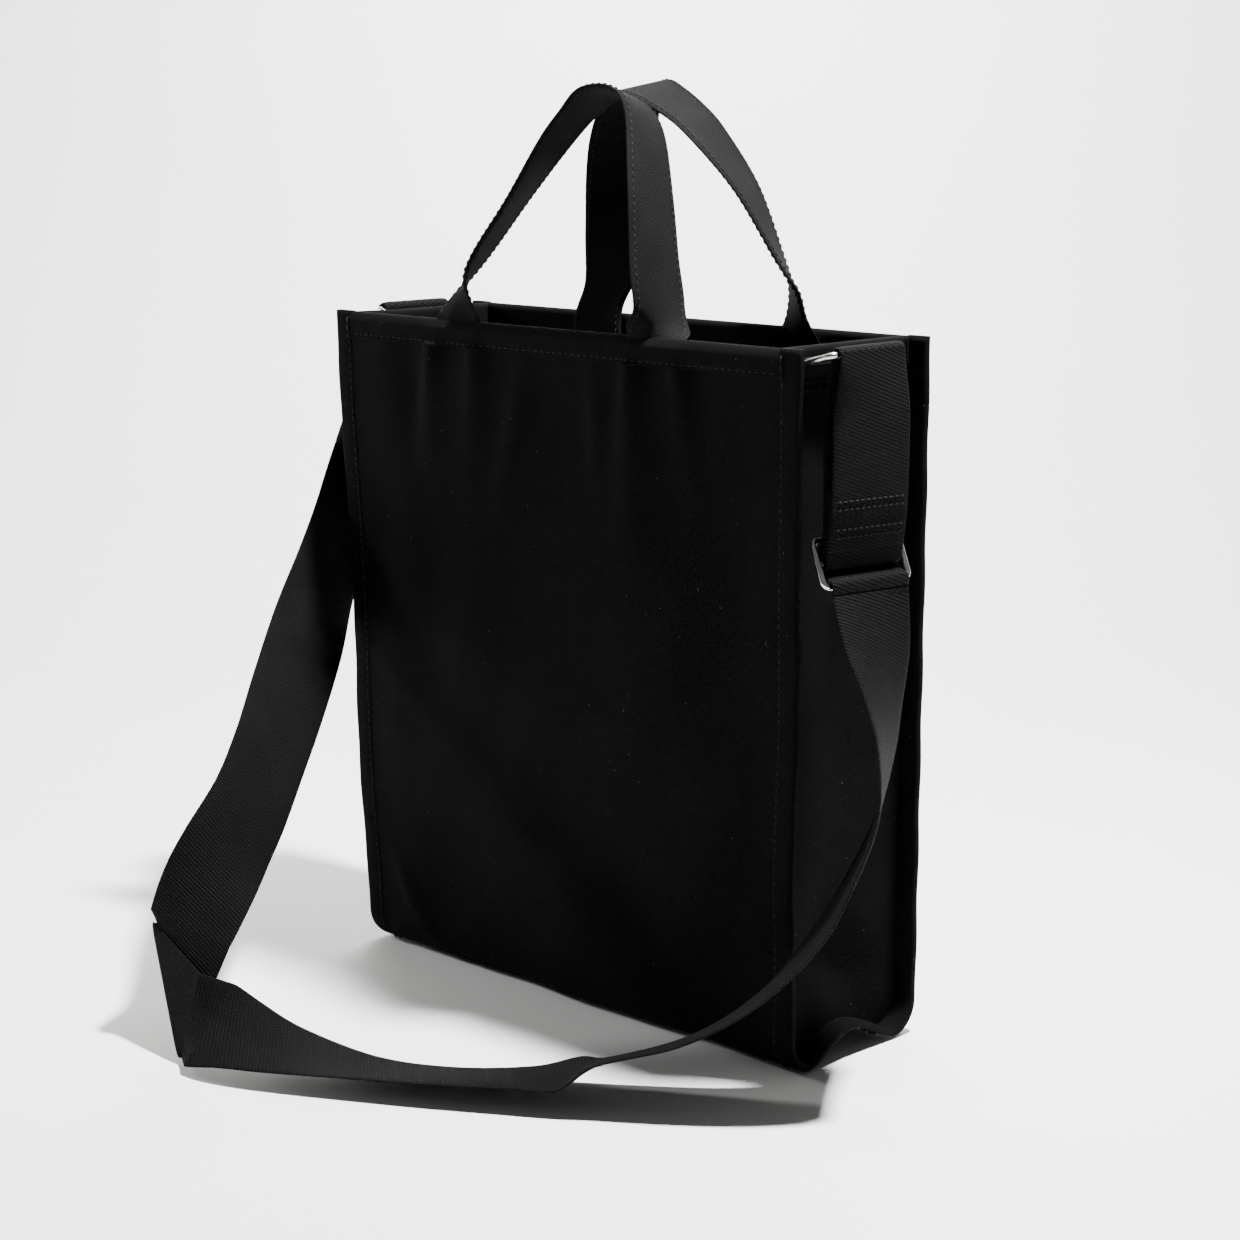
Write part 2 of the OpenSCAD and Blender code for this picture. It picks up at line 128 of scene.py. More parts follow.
# --- Camera ------------------------------------------------------------------------------------
def make_camera(azimuth, elevation, distance, target, lens):
    """A camera that looks at target from distance, azimuth 0 being straight at the front."""
    az, el = math.radians(azimuth), math.radians(elevation)
    back = Vector((math.sin(az) * math.cos(el), -math.cos(az) * math.cos(el), math.sin(el)))
    camera = bpy.data.objects.new("view_camera", bpy.data.cameras.new("view_camera"))
    camera.data.lens = lens
    camera.data.sensor_width = 36
    camera.location = Vector(target) + back * distance
    camera.rotation_euler = (-back).to_track_quat("-Z", "Y").to_euler()
    bpy.context.scene.collection.objects.link(camera)
    bpy.context.scene.camera = camera


VIEW_AZIMUTH = 44.2
make_camera(VIEW_AZIMUTH, elevation=11.4, distance=1.67, target=(-0.161, 0.165, 0.162), lens=75.48)


# --- Small helpers -----------------------------------------------------------------------------
def unit(v):
    """Vectors along the last axis, each divided by its own length."""
    return v / np.linalg.norm(v, axis=-1, keepdims=True)


def ease(x):
    """0 below 0, 1 above 1, and 3x^2 - 2x^3 between."""
    x = np.clip(x, 0, 1)
    return x * x * (3 - 2 * x)


def hump(x, width):
    """A bell curve, e to the minus (x / width) squared."""
    return np.exp(-(x / width) ** 2)


def make_mesh(name, points, faces, uv=None):
    """An object at the origin from points (n, 3), lists of faces, and a cloth map in mm."""
    mesh = bpy.data.meshes.new(name)
    mesh.from_pydata(np.asarray(points).tolist(), [], faces)
    if uv is not None:
        corner = np.empty(len(mesh.loops), int)
        mesh.loops.foreach_get("vertex_index", corner)
        layer = mesh.uv_layers.new(name="cloth")
        layer.data.foreach_set("uv", np.asarray(uv)[corner].ravel())
    mesh.polygons.foreach_set("use_smooth", np.ones(len(mesh.polygons), bool))
    mesh.update()
    piece = bpy.data.objects.new(name, mesh)
    bpy.context.scene.collection.objects.link(piece)
    return piece


def grid_faces(rows, columns, wrap=False):
    """Quads between neighbouring rows and columns of a grid, closed round the columns on wrap."""
    last = columns if wrap else columns - 1
    i, j = np.meshgrid(np.arange(rows - 1), np.arange(last), indexing="ij")
    a, b = i * columns + j, i * columns + (j + 1) % columns
    return np.stack([a, b, b + columns, a + columns], -1).reshape(-1, 4).tolist()


def cloth(name, points, uv, thick):
    """A sheet from a grid of points (rows, columns, 3), thickened behind its face."""
    rows, columns = points.shape[:2]
    piece = make_mesh(name, points.reshape(-1, 3), grid_faces(rows, columns), uv.reshape(-1, 2))
    solid = piece.modifiers.new("thickness", "SOLIDIFY")
    solid.thickness = thick
    solid.offset = -1
    return piece


def smooth_run(points, steps):
    """Catmull-Rom curve through the rows of points, steps to a span, ends held."""
    p = np.asarray(points, float)
    n = len(p) - 1
    i = np.repeat(np.arange(n), steps)
    f = np.tile(np.arange(steps) / steps, n)[:, None]
    a, b, c, d = p[np.maximum(i - 1, 0)], p[i], p[i + 1], p[np.minimum(i + 2, n)]
    run = 0.5 * (2 * b + (c - a) * f + (2 * a - 5 * b + 4 * c - d) * f**2
                 + (3 * b - a - 3 * c + d) * f**3)
    return np.vstack([run, p[-1:]])


def way_of(angles):
    """Unit vectors from rows of azimuth and elevation in degrees."""
    az, el = np.radians(np.asarray(angles, float)).T
    return np.stack([np.cos(az) * np.cos(el), np.sin(az) * np.cos(el), np.sin(el)], -1)


def lay_route(route, steps):
    """Middle points in metres and width directions along listed stations."""
    route = np.asarray(route, float)
    centres = smooth_run(route[:, :3], steps) * MM
    return centres, unit(smooth_run(way_of(route[:, 3:5]), steps))


def run_length(centres):
    """Distance along a line of points, from its start to each point."""
    return np.r_[0, np.cumsum(np.linalg.norm(np.diff(centres, axis=0), axis=1))]


def webbing(name, centres, ways, half, thick, lead=0.0, start=0.0, wave=0.0):
    """Flat woven tape swept along centres. Its section is 21 points across each face, with the
    thickness falling to the selvedges as the root of 1 - a^12. half may vary along the tape;
    lead shifts the weave of one edge along it, as where the tape folds on a slant. wave lifts
    and drops the selvedges a little, as a tape that has been handled does."""
    n = len(centres)
    half = np.broadcast_to(half, n)
    lead = np.broadcast_to(lead, n)
    along = np.gradient(centres, axis=0)
    normal = unit(np.cross(along, ways))
    a = np.sin(np.linspace(-math.pi / 2, math.pi / 2, 21))
    rim = thick / 2 * np.sqrt(np.clip(1 - np.abs(a) ** 12, 0, 1))
    across = np.r_[a, a[-2:0:-1]]
    lift = np.r_[rim, -rim[-2:0:-1]]
    length = run_length(centres) + start
    swell = wave * (np.sin(length * 61 + 1.3) + 0.6 * np.sin(length * 107))[:, None] * across**2
    points = (centres[:, None] + ways[:, None] * (across * half[:, None])[..., None]
              + normal[:, None] * (lift + swell)[..., None])
    nominal = np.median(half)
    uv = np.stack([np.broadcast_to(across * nominal, (n, 40)),
                   length[:, None] + across * lead[:, None]], -1) / MM
    faces = grid_faces(n, 40, wrap=True)
    faces += [list(range(39, -1, -1)), [(n - 1) * 40 + k for k in range(40)]]
    faces = [face[::-1] for face in faces]
    return make_mesh(name, points.reshape(-1, 3), faces, uv.reshape(-1, 2))


def stitches(name, places, along, outward, length=3.2 * MM, radius=0.42 * MM):
    """Thread stitches: each is an arc whose height is radius times the cosine of its length,
    with a six-sided section, both ends sunk in the cloth."""
    u = np.linspace(-0.5, 0.5, 5)
    ring = np.arange(6) / 6 * TAU
    rise = radius * (1.3 * np.cos(math.pi * u) - 0.5)
    size = radius * (0.65 + 0.35 * np.cos(math.pi * u))
    side = unit(np.cross(outward, along))
    points = (places[:, None, None]
              + (along[:, None] * (u * length)[None, :, None])[:, :, None]
              + (outward[:, None] * rise[None, :, None])[:, :, None]
              + side[:, None, None] * (size[:, None] * np.cos(ring))[None, ..., None]
              + outward[:, None, None] * (size[:, None] * np.sin(ring))[None, ..., None])
    one = np.array(grid_faces(5, 6, wrap=True))
    count = len(places)
    faces = (one[None] + (np.arange(count) * 30)[:, None, None]).reshape(-1, 4).tolist()
    for k in range(count):
        faces.append([k * 30 + j for j in (5, 4, 3, 2, 1, 0)])
        faces.append([k * 30 + 24 + j for j in range(6)])
    return make_mesh(name, points.reshape(-1, 3), faces)


def stitch_line(line, outward, pitch=4.6 * MM):
    """Places, directions and outward normals spaced evenly along a dense line of points."""
    s = run_length(line)
    count = max(int(s[-1] / pitch), 1)
    at = (np.arange(count) + 0.5) * s[-1] / count
    pick = lambda v, x: np.stack([np.interp(x, s, v[:, k]) for k in range(3)], -1)
    place = pick(line, at)
    along = unit(pick(line, at + pitch / 4) - pick(line, at - pitch / 4))
    face = pick(outward, at)
    return place, along, unit(face - along * np.sum(face * along, 1, keepdims=True))


def join_lines(lines):
    """Several stitch lines as one."""
    return [np.concatenate(parts) for parts in zip(*lines)]


# --- Materials ---------------------------------------------------------------------------------
def linear(hex_colour):
    """sRGB hex to linear red, green, blue and alpha."""
    s = np.array([int(hex_colour[i:i + 2], 16) for i in (1, 3, 5)]) / 255
    return tuple(np.where(s <= 0.04045, s / 12.92, ((s + 0.055) / 1.055) ** 2.4)) + (1.0,)


def add_node(tree, kind, inputs=(), **settings):
    """A node with its settings; inputs are (socket, value or another node's output)."""
    node = tree.nodes.new("ShaderNode" + kind)
    for key, value in settings.items():
        setattr(node, key, value)
    for key, value in inputs:
        if isinstance(value, bpy.types.NodeSocket):
            tree.links.new(value, node.inputs[key])
        else:
            node.inputs[key].default_value = value
    return node


def new_material(name):
    """An empty material with its shader and output, and its tree."""
    material = bpy.data.materials.new(name)
    material.use_nodes = True
    tree = material.node_tree
    tree.nodes.clear()
    shader = add_node(tree, "BsdfPrincipled")
    add_node(tree, "OutputMaterial", [("Surface", shader.outputs[0])])
    return material, tree, shader


def maths(tree, operation, *values):
    """One sum as a Math node, from numbers or outputs."""
    return add_node(tree, "Math", list(enumerate(values)), operation=operation).outputs[0]


def thread_wave(tree, coordinate, spacing):
    """A sine that repeats over spacing millimetres of the cloth map."""
    return maths(tree, "SINE", maths(tree, "MULTIPLY", coordinate, TAU / spacing))


def woven(name, dark, light, across, along, depth, rough, gloss, fleck, twill=0.0):
    """Woven cloth. The weave is the product of a wave across and a wave along the cloth, so
    threads pass over and under; noise a few threads wide makes them uneven. The colour follows
    the weave: the crowns of the threads are painted lighter and the hollows between them painted
    darker, as painted highlight and painted shade, and lint shows as scattered pale flecks. across
    and along are the threads' spacing and depth is their height, in millimetres; fleck is the size
    of the lint, and twill is how far the rows lean."""
    material, tree, shader = new_material(name)
    cloth_map = add_node(tree, "UVMap", uv_map="cloth").outputs[0]
    split = add_node(tree, "SeparateXYZ", [(0, cloth_map)])
    slub = add_node(tree, "TexNoise", [("Vector", cloth_map), ("Scale", 0.35), ("Detail", 3.0)])
    drift = maths(tree, "MULTIPLY", slub.outputs["Fac"], 1.4)
    u = maths(tree, "ADD", split.outputs[0], drift)
    v = maths(tree, "ADD", maths(tree, "ADD", split.outputs[1], drift),
              maths(tree, "MULTIPLY", split.outputs[0], twill))
    weave = maths(tree, "MULTIPLY", thread_wave(tree, u, across), thread_wave(tree, v, along))
    # The weave's height: it drives the bump, and it also paints a highlight on the thread crowns
    # and shade in the hollows between threads
    crown_and_painted_shade = maths(tree, "MULTIPLY_ADD", weave, 0.5, 0.5)
    fuzz = add_node(tree, "TexNoise", [("Vector", cloth_map), ("Scale", 1.1), ("Detail", 4.0)])
    worn = add_node(tree, "TexNoise", [("Vector", cloth_map), ("Scale", 0.03), ("Detail", 5.0)])
    uneven = maths(tree, "MULTIPLY_ADD", fuzz.outputs["Fac"], 1.2, -0.1)
    rubbed = maths(tree, "MULTIPLY_ADD", worn.outputs["Fac"], 1.6, 0.1)
    # tone is the painted shade between threads times random unevenness and wear
    tone = maths(tree, "MULTIPLY", maths(tree, "MULTIPLY", crown_and_painted_shade, uneven), rubbed)
    colour = add_node(tree, "Mix", data_type="RGBA")
    tree.links.new(tone, colour.inputs["Factor"])
    colour.inputs[6].default_value = linear(dark)
    colour.inputs[7].default_value = linear(light)
    lint = add_node(tree, "TexVoronoi", [("Vector", cloth_map), ("Scale", 0.11)])
    spot = maths(tree, "LESS_THAN", lint.outputs["Distance"], fleck)
    flecked = add_node(tree, "Mix", data_type="RGBA")
    tree.links.new(maths(tree, "MULTIPLY", spot, 0.35), flecked.inputs["Factor"])
    tree.links.new(colour.outputs[2], flecked.inputs[6])
    flecked.inputs[7].default_value = linear("#8a8a88")
    height = maths(tree, "ADD", crown_and_painted_shade, maths(tree, "MULTIPLY", fuzz.outputs["Fac"], 0.8))
    bump = add_node(tree, "Bump", [("Height", height), ("Strength", 1.0), ("Distance", depth * MM)])
    tree.links.new(flecked.outputs[2], shader.inputs["Base Color"])
    tree.links.new(bump.outputs[0], shader.inputs["Normal"])
    shader.inputs["Roughness"].default_value = rough
    shader.inputs["Specular IOR Level"].default_value = gloss
    return material


def nickel():
    """Bright nickel plate on drawn steel wire: a mirror with fine draw lines and small dings."""
    material, tree, shader = new_material("nickel_plated_wire")
    place = add_node(tree, "TexCoord").outputs["Object"]
    grain = add_node(tree, "TexNoise", [("Vector", place), ("Scale", 900.0), ("Detail", 3.0)])
    rough = maths(tree, "MULTIPLY_ADD", grain.outputs["Fac"], 0.25, 0.08)
    bump = add_node(tree, "Bump", [("Height", grain.outputs["Fac"]), ("Distance", 0.03 * MM)])
    shader.inputs["Base Color"].default_value = linear("#c9c7c2")
    shader.inputs["Metallic"].default_value = 1.0
    tree.links.new(rough, shader.inputs["Roughness"])
    tree.links.new(bump.outputs[0], shader.inputs["Normal"])
    return material


def thread():
    """Polyester sewing thread: two strands twisted, a faint lustre."""
    material, tree, shader = new_material("polyester_thread")
    place = add_node(tree, "TexCoord").outputs["Object"]
    twist = add_node(tree, "TexNoise", [("Vector", place), ("Scale", 1500.0)])
    bump = add_node(tree, "Bump", [("Height", twist.outputs["Fac"]), ("Distance", 0.1 * MM)])
    shader.inputs["Base Color"].default_value = linear("#0c0c0d")
    shader.inputs["Roughness"].default_value = 0.7
    shader.inputs["Specular IOR Level"].default_value = 0.15
    tree.links.new(bump.outputs[0], shader.inputs["Normal"])
    return material


# The canvas's own threads are 0.6 mm apart, too fine to show, so they are drawn 1.4 mm apart
CANVAS = woven("black_cotton_canvas", "#010101", "#0e0e0e", across=1.4, along=1.4, depth=0.30,
               rough=0.85, gloss=0.045, fleck=0.035)
# Ribbed nylon tape: rows of picks 1.9 mm apart, each leaning over the next
STRAP = woven("black_nylon_webbing", "#020202", "#171717", across=2.2, along=1.9, depth=0.55,
              rough=0.7, gloss=0.035, fleck=0.012, twill=0.5)
# Cotton tape of the handles: finer, flatter ribs
HANDLE = woven("black_cotton_webbing", "#030303", "#1d1d1c", across=1.8, along=1.5, depth=0.45,
               rough=0.8, gloss=0.04, fleck=0.012)
NICKEL = nickel()
THREAD = thread()


def finish_piece(piece, material, body, slot, *nodes):
    """Gives a piece its material, and its body unless that is None, for a piece that bends between
    two bodies, and hides the solids that it stands for. slot is not used."""
    piece.data.materials.clear()
    piece.data.materials.append(material)
    if body:
        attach(piece, body)
    if nodes:
        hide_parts(*nodes)
    return piece


# --- The free strap ----------------------------------------------------------------------------
def make_shoulder_strap():
    """The strap from the slider to the left ring, turned back on itself along its crease."""
    down, down_way = lay_route(ROUTE_DOWN, 14)
    up, up_way = lay_route(ROUTE_UP, 14)
    turn = np.radians(np.linspace(-90, 90, 9))[:, None]
    back, face = np.array(CREASE_BACK), np.array(CREASE_FACE)
    fold = (np.array(CREASE) + back * (1.6 - CREASE_R * np.cos(turn))
            - face * CREASE_R * np.sin(turn)) * MM
    fold_way = np.repeat(way_of([CREASE_WAY]), len(fold), axis=0)
    low, high = np.array(FAN_LOW) * MM, np.array(FAN_HIGH) * MM
    fan, fan_way, fan_half = (low + high) / 2, unit(high - low), np.linalg.norm(high - low) / 2
    centres = np.vstack([down, fan, fold, up])
    ways = np.vstack([down_way, fan_way, fold_way, up_way])
    half = np.r_[np.full(len(down), STRAP_W / 2), fan_half, np.full(len(fold), CREASE_HALF * MM),
                 np.full(len(up), STRAP_W / 2)]
    slant = math.sqrt(CREASE_HALF**2 - (STRAP_W / MM / 2) ** 2) * MM
    lead = np.r_[np.zeros(len(down)), slant / 3, np.full(len(fold), slant), np.zeros(len(up))]
    piece = webbing("shoulder_strap_webbing", centres, ways, half, STRAP_T, lead)
    finish_piece(piece, STRAP, None, "strap_webbing", "shoulder_strap")
    return piece, centres


strap, strap_line = make_shoulder_strap()


# --- The double run: ring, sewn end and slider -------------------------------------------------
RUN_TURN = math.radians(10)
TWIST_H = 34 * MM
RUN_OUT = np.array([math.cos(RUN_TURN), -math.sin(RUN_TURN), 0])
PLY = WIRE_R + 0.3 * MM + STRAP_T / 2
slider_low, slider_high = (np.array(c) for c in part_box("slider_frame"))
bar_low, bar_high = (np.array(c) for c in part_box("slider_middle_bar"))
MIDDLE_Z = (bar_low[2] + bar_high[2]) / 2
MIDDLE_X = -3 * MM
UPPER_BAR = np.array([MIDDLE_X - 5 * MM, slider_high[2] - WIRE_R])
LOWER_BAR = np.array([MIDDLE_X + 5 * MM, slider_low[2] + WIRE_R])
MIDDLE_BAR = np.array([MIDDLE_X, MIDDLE_Z])
COLLAR_R = WIRE_R + 0.15 * MM + STRAP_T / 2
WEAVE_TOP = MIDDLE_Z + 16 * MM
SEWN_FOOT = MIDDLE_Z + 6 * MM


def run_tape(name, profile, steps):
    """Tape whose side view is profile [across the run, up]; it lies square to the ring's bar at
    the top and is turned by RUN_TURN from TWIST_H below it."""
    side = smooth_run(profile, steps)
    turn = RUN_TURN * ease((RING_BAR[2] - side[:, 1]) / TWIST_H)
    width = np.stack([np.sin(turn), np.cos(turn), 0 * turn], -1)
    centres = np.stack([np.cos(turn), -np.sin(turn), 0 * turn], -1) * side[:, :1]
    centres[:, :2] += RING_BAR[:2]
    centres[:, 2] = side[:, 1]
    return webbing(name, centres, width, STRAP_W / 2, STRAP_T, start=0.2)


def arc(centre, radius, start, end, count):
    """Points on a circle in the side view, from one angle to another, in degrees."""
    angle = np.radians(np.linspace(start, end, count))
    return centre + radius * np.stack([np.cos(angle), np.sin(angle)], -1)


def make_double_run():
    """Running ply up to the ring, and the sewn ply from over its bar down to the slider. They
    part at the height of the bar, where neither moves as the slider does."""
    running = run_tape("strap_running_length", np.array([
        [-PLY, WEAVE_TOP], [-PLY, WEAVE_TOP + 15 * MM], [-PLY - 0.5 * MM, 0.325], [-PLY, 0.35],
        [-PLY, RING_BAR[2]]]), 8)
    finish_piece(running, STRAP, "root", "strap_webbing", "strap_running_ply")
    piece = run_tape("strap_double_run", np.vstack([
        arc(np.array([0, RING_BAR[2]]), PLY, 180, 0, 9),
        [[PLY + 0.4 * MM, 0.352], [PLY + 0.6 * MM, 0.325], [PLY, MIDDLE_Z + 30 * MM],
         [PLY - 0.6 * MM, MIDDLE_Z + 20 * MM], [MIDDLE_X + COLLAR_R + 0.5 * MM, SEWN_FOOT]]]), 8)
    finish_piece(piece, STRAP, "root", "strap_webbing", "strap_fold_right", "strap_sewn_ply")
    under = np.array([-STRAP_T - 0.1 * MM, 0])
    back = np.array([[MIDDLE_X + COLLAR_R + 0.5 * MM, SEWN_FOOT],
                     [PLY - 0.6 * MM, MIDDLE_Z + 20 * MM],
                     [PLY - 0.1 * MM, MIDDLE_Z + 37 * MM]]) + under
    turnback = run_tape("strap_turnback", back, 8)
    finish_piece(turnback, STRAP, "root", "strap_webbing")
    return running, piece, turnback


def make_weave():
    """The running strap woven through the slider, and the sewn end's turn round its bar."""
    over = WIRE_R + 0.3 * MM + STRAP_T / 2 + 0.4 * MM
    round_collar = COLLAR_R + STRAP_T + 0.5 * MM
    profile = np.vstack([
        [[-PLY, WEAVE_TOP]], arc(UPPER_BAR, over, -15, -15, 1),
        arc(MIDDLE_BAR, round_collar, 155, 225, 2), arc(LOWER_BAR, over, 100, 20, 3),
        [[LOWER_BAR[0] + over, LOWER_BAR[1] - 3 * MM]]])
    wave = run_tape("strap_slider_weave", profile, 10)
    finish_piece(wave, STRAP, "slider", "strap_webbing", "strap_slider_wave")
    collar = run_tape("strap_slider_turn", np.vstack([
        [[MIDDLE_X + COLLAR_R + 0.5 * MM, MIDDLE_Z + 7 * MM]],
        arc(MIDDLE_BAR, COLLAR_R, 10, -200, 9),
        [[MIDDLE_X + COLLAR_R - 2.1 * MM, MIDDLE_Z + 7 * MM]]]), 4)
    finish_piece(collar, STRAP, "slider", "strap_webbing", "strap_slider_collar")
    return wave, collar


def make_feed():
    """The short stretch below the slider that draws out as the slider goes up."""
    foot = strap_line[2]
    top = strap_line[0] + [0, 0, 0.6 * MM]
    centres = foot + (top - foot) * np.linspace(0, 1, 14)[:, None]
    ways = np.repeat([[math.sin(RUN_TURN), math.cos(RUN_TURN), 0]], 14, axis=0)
    piece = webbing("strap_feed", centres, ways, STRAP_W / 2 - 0.2 * MM, STRAP_T - 0.3 * MM)
    finish_piece(piece, STRAP, None, "strap_webbing")
    return piece, foot, top


running_length, double_run, turnback = make_double_run()
weave, collar = make_weave()
feed, feed_foot, feed_top = make_feed()


def make_run_stitching():
    """Two double rows through the sewn end and its turnback, on the outer face."""
    lines = []
    for up in (13, 17, 27, 31):
        z = MIDDLE_Z + up * MM
        middle = np.interp(up, [6, 20, 30],
                           [MIDDLE_X + COLLAR_R + 0.5 * MM, PLY - 0.6 * MM, PLY])
        x = middle + STRAP_T / 2
        across = np.linspace(-22, 22, 40)[:, None] * MM
        width = np.array([math.sin(RUN_TURN), math.cos(RUN_TURN), 0])
        line = np.array([RING_BAR[0], RING_BAR[1], z]) + RUN_OUT * x + width * across
        lines.append(stitch_line(line, np.repeat([RUN_OUT], 40, axis=0), 3.6 * MM))
    piece = stitches("strap_end_stitching", *join_lines(lines), length=2.6 * MM)
    return finish_piece(piece, THREAD, "root", "thread", "strap_stitching")


run_stitching = make_run_stitching()


# --- The strap's left end ----------------------------------------------------------------------
def make_left_end():
    """The strap over the left ring's bar and back down inside, sewn to itself."""
    bar = np.array([LEFT_BAR[0], LEFT_BAR[2]])
    side = np.vstack([[[bar[0] - PLY, 0.3485]], arc(bar, PLY, 180, 0, 9),
                      [[bar[0] + PLY - 0.4 * MM, 0.358], [bar[0] + 0.2 * MM, 0.349],
                       [bar[0] - PLY + STRAP_T + 0.2 * MM, 0.336]]])
    side = smooth_run(side, 8)
    centres = np.stack([side[:, 0], np.full(len(side), LEFT_BAR[1]), side[:, 1]], -1)
    ways = np.repeat([[0.0, -1.0, 0.0]], len(side), axis=0)
    piece = webbing("strap_left_end", centres, ways, STRAP_W / 2, STRAP_T, start=0.4)
    return finish_piece(piece, STRAP, "left_ring", "strap_webbing", "strap_end_left")


left_end = make_left_end()


# --- Ring tabs ---------------------------------------------------------------------------------
def make_tab(name, mirror, y, node):
    """Canvas strip: up the side, round the ring's inner bar and down again."""
    x, z = TAB_BAR[0] - SIDE_X, TAB_BAR[2]
    bar = np.array([x, z])
    loop_r = WIRE_R + 0.3 * MM + CANVAS_T / 2
    side = smooth_run(np.vstack([
        [[CANVAS_T / 2, z - 15 * MM], [CANVAS_T / 2, z - 6 * MM]], arc(bar, loop_r, 180, -20, 9),
        [[CANVAS_T * 1.6, z - 7 * MM], [CANVAS_T * 1.55, z - 15 * MM]]]), 6)
    centres = np.stack([mirror * (SIDE_X + side[:, 0]), np.full(len(side), y), side[:, 1]], -1)
    ways = np.repeat([[0.0, mirror, 0.0]], len(side), axis=0)
    piece = webbing(name, centres, ways, STRAP_W / 2 - 1 * MM, CANVAS_T)
    return finish_piece(piece, CANVAS, "root", "canvas", node)


tabs = [make_tab("ring_tab_canvas_right", 1, RING_BAR[1], "ring_tab_right"),
        make_tab("ring_tab_canvas_left", -1, LEFT_BAR[1], "ring_tab_left")]


# --- The bag's shell ---------------------------------------------------------------------------
def base_lift(x, y):
    """How far the base stands off the floor: it arches between its corners near each end."""
    end = ease((np.abs(x) - 70 * MM) / (HALF_W - 70 * MM))
    arch = np.cos(np.clip(y / (40 * MM), -1, 1) * math.pi / 2) ** 2
    return BASE_LIFT * end * arch


def section_line(with_hem):
    """Side view of the body panel as rows of [y, z, normal y, normal z, hem share]: down the
    front, along the base and up the back, with quarter circles between, and where with_hem,
    over the top and down inside as the turned hem."""
    d, r, h = HALF_D, CORNER_R, HEM_R
    z = np.r_[np.linspace(TOP - h, TOP - 22 * MM, 36)[:-1], np.linspace(TOP - 22 * MM, r, 125)]
    front = np.column_stack([np.full(160, -d), z, np.full(160, -1), np.zeros(160)])
    a = np.radians(np.linspace(180, 270, 12))[1:-1]
    corner = np.column_stack([-d + r + r * np.cos(a), r + r * np.sin(a), np.cos(a), np.sin(a)])
    base = np.column_stack([np.linspace(r - d, 0, 16), np.zeros(16), np.zeros(16), np.full(16, -1)])
    half = np.vstack([front, corner, base])
    if with_hem:
        a = np.radians(np.linspace(0, 180, 10))[:-1]
        roll = np.column_stack([-d + h + h * np.cos(a), TOP - h + h * np.sin(a),
                                np.cos(a), np.sin(a)])
        inside = np.column_stack([np.full(8, 2 * h - d), np.linspace(TOP - HEM_H, TOP - h, 9)[:-1],
                                  np.ones(8), np.zeros(8)])
        half = np.vstack([inside, roll, half])
    back = half[::-1][1:] * [-1, 1, -1, 1]
    return np.vstack([half, back])


def panel_relief(x, line):
    """How far the canvas stands out of its flat panel, in metres, as a sum of bell curves, eased
    steps and sines over the panel: the padded hem, the lumps of the handle feet, folds that fall
    from them, a hollow between with two pleats, a fall to the right, and a soft belly."""
    y, z, ny = line[:, 0], line[:, 1], line[:, 2]
    front = (y < 0)[:, None]
    z = z[:, None]
    wall = np.abs(ny)[:, None]
    inner = (np.abs(y) < HALF_D - HEM_R * 1.2)[:, None] & (z > TOP - 20 * MM)
    soft = ease((SIDE_X - 2 * MM - np.abs(x)) / (28 * MM))
    hem = ease((z - (TOP - HEM_H)) / (1.2 * MM)) * (1 - ease((z - TOP + 5 * MM) / (4 * MM)))
    groove = hump(z - (TOP - HEM_H + 2.4 * MM), 0.9 * MM)
    feet = 0
    folds = 0
    for k in (0, 1):
        foot = np.where(front, FRONT_FEET[k], BACK_FEET[k])
        feet = feet + ease((HANDLE_W / 2 + 1.5 * MM - np.abs(x - foot)) / (3 * MM))
        drop = np.clip(TOP - HEM_H - z, 0, None)
        lean = np.where(front, 0.10, -0.08) * (1 if k else -1)
        for edge, size in ((-1, 5.5), (1, 4.0)):
            mid = foot + edge * HANDLE_W * 0.42 + lean * drop + edge * 0.06 * drop
            folds = folds + size * hump(x - mid, 6 * MM + 0.10 * drop) * np.exp(-drop / (110 * MM))
    below = 1 - ease((z - (TOP - HEM_H)) / (4 * MM))
    hollow = -5.5 * hump(x - 5 * MM, 40 * MM) * hump(z - 0.325, 36 * MM)
    right = ease((x - 60 * MM - 0.15 * (TOP - z)) / (36 * MM))
    hollow = hollow - 5.0 * right * hump(z - 0.27, 95 * MM)
    hollow = hollow - 4.0 * hump(x + 112 * MM - 0.1 * (TOP - z), 12 * MM) * hump(z - 0.31, 60 * MM)
    pleat = 3.0 * hump(x + 20 * MM + 0.2 * (TOP - z), 8 * MM) * hump(z - 0.32, 40 * MM)
    pleat = pleat + 3.2 * hump(x - 26 * MM - 0.1 * (TOP - z), 7 * MM) * hump(z - 0.325, 32 * MM)
    pleat = pleat + 2.2 * hump(x + 100 * MM + 0.8 * z, 9 * MM) * hump(z - 0.04, 35 * MM)
    pleat = pleat - 3.0 * hump(x - 95 * MM + 0.5 * z, 24 * MM) * hump(z - 0.05, 30 * MM)
    belly = 5.0 * np.sin(np.clip(z / TOP, 0, 1) * math.pi) ** 1.2 * hump(x, 0.13)
    ripple = (0.7 * np.sin(x * 47 + z * 21 + 0.4) + 0.5 * np.sin(x * 90 - z * 37 + 2.1)
              + 0.35 * np.sin(z * 75 + x * 18 + 1.1))
    sag = 3.0 * hump(z - 0.05, 35 * MM) * np.sin(x * 26 + 0.9)
    cloth_part = below * soft * (folds + hollow + pleat + belly + ripple + sag) * wall
    pucker = 0.25 * np.sin(x * 420) * hump(z - (TOP - HEM_H + 5 * MM), 4 * MM)
    hem_part = 1.2 * hem - 0.7 * groove + 0.9 * feet * hem + pucker
    return np.where(inner, 0.3 * feet * hem, cloth_part + hem_part * wall) * MM


